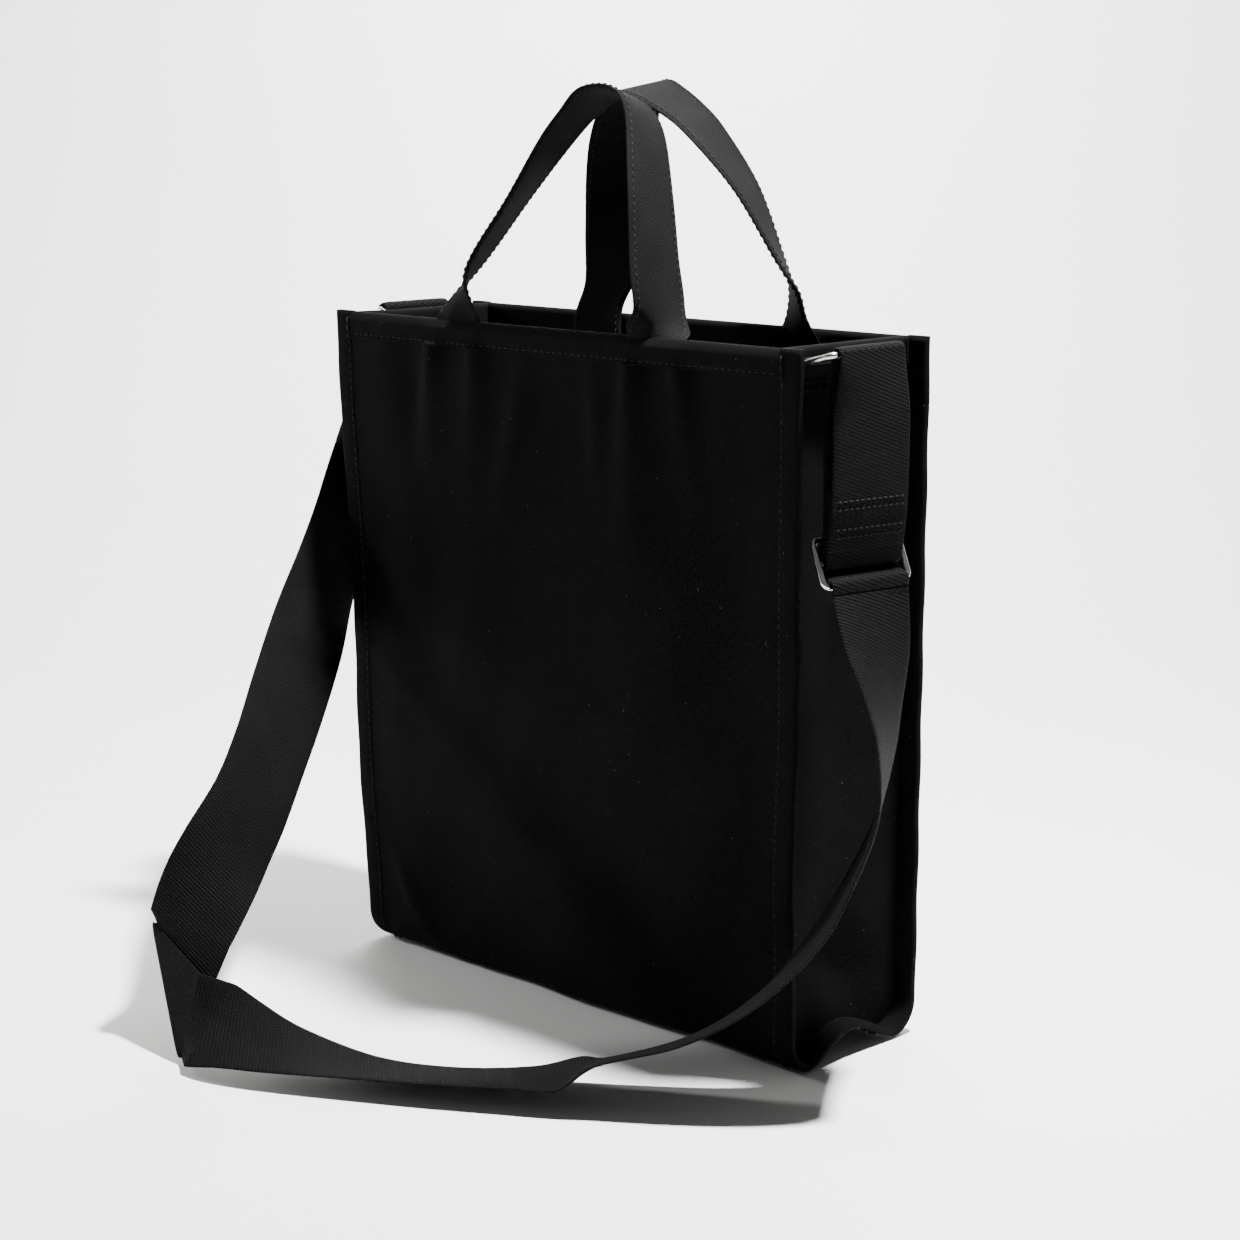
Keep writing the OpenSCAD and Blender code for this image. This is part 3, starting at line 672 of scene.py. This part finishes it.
def settle(points):
    """The bag's own slouch: its front left corner stands out at the top and draws in at the foot,
    and the edges wander a little on the way down. Moves points along X only."""
    x, y, z = points[..., 0], points[..., 1], points[..., 2]
    left = ease((-x - 40 * MM) / (120 * MM))
    front = ease((-y - 22 * MM) / (26 * MM))
    foot = 13 * np.clip(1 - z / 0.26, 0, 1) ** 1.3
    head = -7 * ease((z - 0.25) / 0.12)
    wander = 1.1 * np.sin(z * 34 + 1) * ease(z / 0.05) * ease((TOP - z) / 0.05)
    shift = left * (foot + (head + wander) * front)
    right = ease((x - 40 * MM) / (120 * MM)) * front * wander * np.sin(z * 11)
    moved = points.copy()
    moved[..., 0] = x + (shift + right) * MM
    return moved


def shell_points(x, line):
    """Points of the body panel over every x and every row of the side view, and their normals."""
    off = panel_relief(x[None, :], line)
    y = line[:, 0:1] + line[:, 2:3] * off
    z = line[:, 1:2] + line[:, 3:4] * off
    lift = base_lift(x[None, :], line[:, 0:1]) * ease(1 - line[:, 1:2] / (24 * MM))
    points = settle(np.stack([np.broadcast_to(x, y.shape), y, z + lift], -1))
    normal = unit(np.stack([0 * y, line[:, 2:3] + 0 * y, line[:, 3:4] + 0 * y], -1))
    return points, normal


PANEL_X = np.sin(np.linspace(-math.pi / 2, math.pi / 2, 121)) * (SIDE_X + 1.5 * MM)


def make_body():
    """Front, base and back in one piece of canvas, with the hem turned in at both ends."""
    line = section_line(True)
    points, _ = shell_points(PANEL_X, line)
    s = run_length(np.column_stack([line[:, :2], 0 * line[:, 0]]))
    uv = np.stack(np.broadcast_arrays(PANEL_X[None, :], s[:, None]), -1) / MM
    piece = cloth("body_canvas", points[:, ::-1], uv[:, ::-1], CANVAS_T)
    finish_piece(piece, CANVAS, "root", "canvas", "body_panel", "hem_front", "hem_back")


make_body()


def make_seam_edge(name, side):
    """The edge that stands out beyond a side seam: a padded band of turned canvas, its section a
    rounded rectangle, carried down the front, under the base and up the back."""
    line = section_line(False)
    above = [0, HEM_R + 0.2 * MM, 0, 0]
    line = np.vstack([line[0] + above, line, line[-1] + above])
    a = np.arange(28) / 28 * TAU
    fat = lambda v: np.sign(v) * np.abs(v) ** 0.45
    half_x = (HALF_W + 0.4 * MM - SIDE_X + 1 * MM) / 2
    mid_x = HALF_W + 0.4 * MM - half_x
    x = side * (mid_x + half_x * fat(np.cos(a)))[None, :]
    floor = line[:, 3:4] ** 2
    stitched = hump(np.abs(x) - SIDE_X - 1 * MM, 1.3 * MM)
    out = (2.3 * fat(np.sin(a))[None, :] - 1.4 - 0.9 * floor
           - 0.6 * stitched * np.sign(np.sin(a))[None, :]) * MM
    worn = 0.35 * MM * np.sin(line[:, 1:2] * 130 + line[:, 0:1] * 90 + 3 * side)
    y = line[:, 0:1] + line[:, 2:3] * out
    z = line[:, 1:2] + line[:, 3:4] * out
    lift = base_lift(x, line[:, 0:1]) * ease(1 - line[:, 1:2] / (24 * MM))
    points = settle(np.stack([x + worn * np.cos(a) * line[:, 2:3] ** 2, y, z + lift], -1))
    rows = len(line)
    s = run_length(np.column_stack([line[:, :2], 0 * line[:, 0]]))
    around = np.cumsum(np.r_[0, np.hypot(np.diff(x[0]), np.diff(out[0]))])
    uv = np.stack(np.broadcast_arrays(around[None, :], s[:, None]), -1) / MM
    faces = grid_faces(rows, 28, wrap=True)
    faces += [list(range(27, -1, -1)), [(rows - 1) * 28 + k for k in range(28)]]
    if side < 0:
        faces = [face[::-1] for face in faces]
    piece = make_mesh(name, points.reshape(-1, 3), faces, uv.reshape(-1, 2))
    finish_piece(piece, CANVAS, "root", "canvas")


make_seam_edge("seam_edge_left", -1)
make_seam_edge("seam_edge_right", 1)


def gusset_inward(y, z):
    """How far the side panel sinks in: a soft fold up its middle, deeper low down."""
    fold = 5.5 * hump(y, 20 * MM) * ease(z / (60 * MM)) * (1 - 0.75 * ease((z - 0.2) / 0.15))
    low = 7.0 * hump(y, 30 * MM) * hump(z - 0.035, 32 * MM)
    wrinkle = 0.8 * np.sin(z * 43 + y * 60) + 0.5 * np.sin(z * 90 - y * 45 + 1)
    side = ease((HALF_D - 4 * MM - np.abs(y)) / (14 * MM))
    return (fold + low + wrinkle) * side * MM * (1 - ease((z - TOP + HEM_H + 3 * MM) / (5 * MM)))


def make_gusset(name, side, node, hem):
    """A side panel: its outline is the bag's side view, inset by the canvas, and its hem is
    turned in over the top."""
    r, h = CORNER_R, HEM_R
    z = np.r_[CANVAS_T + (r - CANVAS_T) * (1 - np.cos(np.linspace(0, math.pi / 2, 14))),
              np.linspace(r, TOP - h, 100)[1:]]
    a = np.radians(np.linspace(0, 180, 10))[1:]
    out = np.r_[0 * z, h * (np.cos(a) - 1), np.full(8, -2 * h)]
    z = np.r_[z, TOP - h + h * np.sin(a), np.linspace(TOP - h, TOP - HEM_H, 9)[1:]]
    inset = np.r_[np.zeros(113), 2 * h * np.linspace(0, 1, 9), np.full(8, 2 * h)]
    low = np.clip(r - z, 0, r)
    half = HALF_D - CANVAS_T - inset - (r - np.sqrt(r * r - low * low))
    t = np.sin(np.linspace(-math.pi / 2, math.pi / 2, 61))
    y = half[:, None] * t[None, :]
    zz = np.broadcast_to(z[:, None], y.shape)
    facing = np.r_[np.ones(113), np.zeros(17)][:, None]
    groove = 0.6 * MM * hump(zz - (TOP - HEM_H), 1.1 * MM) * facing
    x = SIDE_X + out[:, None] - gusset_inward(y, zz) * facing - groove
    lift = base_lift(np.full_like(y, SIDE_X), y) * ease(1 - zz / (90 * MM))
    points = settle(np.stack([side * x, y, zz + lift], -1))
    s = run_length(np.column_stack([out, z, 0 * z]))
    uv = np.stack(np.broadcast_arrays(y, s[:, None]), -1) / MM
    if side > 0:
        points, uv = points[:, ::-1], uv[:, ::-1]
    points, uv = points[:, ::-1], uv[:, ::-1]
    finish_piece(cloth(name, points, uv, CANVAS_T), CANVAS, "root", "canvas", node, hem)


make_gusset("gusset_canvas_left", -1, "gusset_left", "hem_left")
make_gusset("gusset_canvas_right", 1, "gusset_right", "hem_right")


def make_seam_stitching(name, side, node):
    """The row that closes a side seam, on the front, under the base and on the back."""
    x = np.array([side * (SIDE_X + 1.2 * MM)])
    points, normal = shell_points(x, section_line(False))
    line = points[:, 0] + normal[:, 0] * 0.3 * MM
    piece = stitches(name, *stitch_line(line, normal[:, 0], 4.4 * MM))
    finish_piece(piece, THREAD, "root", "thread", node)


def make_hem_stitching():
    """The row along the hem, outside and inside on the front and the back, and outside on the two
    sides.
    """
    lines = []
    z = TOP - HEM_H + 2.4 * MM
    x = np.linspace(-SIDE_X + 3 * MM, SIDE_X - 3 * MM, 300)
    for face in (-1, 1):
        row = np.array([[face * HALF_D, z, face, 0]])
        points, normal = shell_points(x, row)
        lines.append(stitch_line(points[0], normal[0]))
        inside = points[0] - normal[0] * (2 * HEM_R + 0.6 * MM)
        lines.append(stitch_line(inside, -normal[0]))
    y = np.linspace(5 * MM - HALF_D, HALF_D - 5 * MM, 80)
    for side in (-1, 1):
        line = settle(np.column_stack([np.full(80, side * SIDE_X), y, np.full(80, z)]))
        lines.append(stitch_line(line, np.repeat([[side, 0.0, 0.0]], 80, axis=0)))
    piece = stitches("hem_stitching_thread", *join_lines(lines))
    finish_piece(piece, THREAD, "root", "thread", "hem_stitching")


def make_tab_stitching():
    """Two rows through each ring tab."""
    lines = []
    for side, y in ((1, RING_BAR[1]), (-1, LEFT_BAR[1])):
        for down in (9, 13):
            line = np.column_stack([np.full(60, side * (SIDE_X + 2.1 * CANVAS_T)),
                                    np.linspace(y - 22 * MM, y + 22 * MM, 60),
                                    np.full(60, TAB_BAR[2] - down * MM)])
            lines.append(stitch_line(line, np.repeat([[side, 0.0, 0.0]], 60, axis=0)))
    piece = stitches("tab_stitching_thread", *join_lines(lines))
    finish_piece(piece, THREAD, "root", "thread", "tab_stitching")


make_seam_stitching("seam_stitching_thread_left", -1, "seam_stitching_left")
make_seam_stitching("seam_stitching_thread_right", 1, "seam_stitching_right")
make_hem_stitching()
make_tab_stitching()


# --- Handles -----------------------------------------------------------------------------------
def make_handle(name, route, feet, side, node, foot_nodes):
    """A handle from foot to foot, its ends inside the hem, with a row of stitches along each
    selvedge on both faces."""
    route = np.asarray(route, float)
    rise = 121 * MM
    middle, half_span = (feet[0] + feet[1]) / 2, (feet[1] - feet[0]) / 2
    at = np.column_stack([middle + half_span * route[:, 0], side * (FOOT_Y - route[:, 1] * MM),
                          TOP + 2 * MM + rise * route[:, 2]])
    centres = smooth_run(at, 12)
    ways = unit(smooth_run(way_of(route[:, 3:5]), 12))
    along = unit(np.gradient(centres, axis=0))
    ways = unit(ways - 0.85 * along * np.sum(ways * along, 1, keepdims=True))
    # the tape cups where it twists just above the hem, which draws its edges in
    half = HANDLE_W / 2 * (1 - 0.16 * hump(centres[:, 2] - TOP - 9 * MM, 11 * MM))
    piece = webbing(name, centres, ways, half, HANDLE_T)
    finish_piece(piece, HANDLE, None, "handle_webbing", node, *foot_nodes)
    normal = unit(np.cross(along, ways))
    lines = []
    above = centres[:, 2] > (TOP if side < 0 else TOP - 26 * MM)
    for edge in (-1, 1):
        for face in (-1, 1):
            line = (centres + ways * edge * (half - 3 * MM)[:, None]
                    + normal * face * HANDLE_T / 2)[above]
            lines.append(stitch_line(line, face * normal[above], 4.0 * MM))
    sewing = stitches(name + "_stitching", *join_lines(lines), length=2.8 * MM, radius=0.36 * MM)
    finish_piece(sewing, THREAD, None, "thread")
    return piece, sewing


front = make_handle("front_handle_webbing", FRONT_HANDLE, FRONT_FEET, -1, "front_handle",
                    ("front_handle_foot_left", "front_handle_foot_right"))
back = make_handle("back_handle_webbing", BACK_HANDLE, BACK_FEET, 1, "back_handle",
                   ("back_handle_foot_left", "back_handle_foot_right"))
for side, body_name, pieces in ((-1, "front_handle", front), (1, "back_handle", back)):
    for piece in pieces:
        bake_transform(piece)

# --- Metal -------------------------------------------------------------------------------------
for node in ("ring_left", "ring_right", "slider_frame", "slider_middle_bar"):
    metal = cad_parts[node]
    metal.data.materials.clear()
    metal.data.materials.append(NICKEL)

# --- Own mesh copies for the double run; the feed and the strap baked in place -----------------
for piece, foot in ((running_length, WEAVE_TOP), (double_run, SEWN_FOOT), (turnback, SEWN_FOOT),
                    (run_stitching, SEWN_FOOT)):
    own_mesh(piece)
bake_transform(feed)
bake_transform(strap)


# --- Floor and lights --------------------------------------------------------------------------
def make_floor():
    """A pale sweep: flat, then curving up behind with a radius of one metre."""
    a = np.linspace(0, math.pi / 2, 24)
    depth = np.r_[-4, 0.8, 0.8 + 1.0 * np.sin(a), 1.8]
    height = np.r_[0, 0, 1.0 - np.cos(a), 4]
    # depth runs away from the camera, along its azimuth
    az = math.radians(VIEW_AZIMUTH)
    away = np.array([-math.sin(az), math.cos(az), 0])
    right = np.array([math.cos(az), math.sin(az), 0])
    wide = np.linspace(-6, 6, 9)
    points = (away * depth[:, None, None] + right * wide[None, :, None]
              + np.array([0, 0, 1]) * height[:, None, None])
    floor = make_mesh("studio_floor", points.reshape(-1, 3), grid_faces(len(depth), 9))
    material, tree, shader = new_material("painted_board")
    place = add_node(tree, "TexCoord").outputs["Object"]
    grain = add_node(tree, "TexNoise", [("Vector", place), ("Scale", 3.0), ("Detail", 2.0)])
    tone = add_node(tree, "Mix", data_type="RGBA")
    tree.links.new(grain.outputs["Fac"], tone.inputs["Factor"])
    tone.inputs[6].default_value = linear("#dedddb")
    tone.inputs[7].default_value = linear("#e3e2e0")
    tree.links.new(tone.outputs[2], shader.inputs["Base Color"])
    shader.inputs["Roughness"].default_value = 0.7
    floor.data.materials.append(material)


def add_area_light(name, place, size, power, target=(0, -0.05, 0.15)):
    """A square soft light at place, aimed at target."""
    way = (Vector(place) - Vector(target)).normalized()
    light = bpy.data.lights.new(name, "AREA")
    light.size = size
    light.energy = power
    lamp = bpy.data.objects.new(name, light)
    lamp.location = place
    lamp.rotation_euler = way.to_track_quat("Z", "Y").to_euler()
    bpy.context.scene.collection.objects.link(lamp)


make_floor()
add_area_light("key_light", place=(0.31, 0.10, 1.3), size=0.09, power=104)
add_area_light("fill_light", place=(-1.6, -0.8, 0.9), size=0.3, power=26)
add_area_light("backdrop_light", place=(-0.7, 0.9, 1.6), size=0.8, power=85,
               target=(-1.5, 1.6, 0.3))
world = bpy.data.worlds.new("studio_air")
world.use_nodes = True
world.node_tree.nodes["Background"].inputs["Color"].default_value = linear("#f6f7f8")
world.node_tree.nodes["Background"].inputs["Strength"].default_value = 0.16
bpy.context.scene.world = world
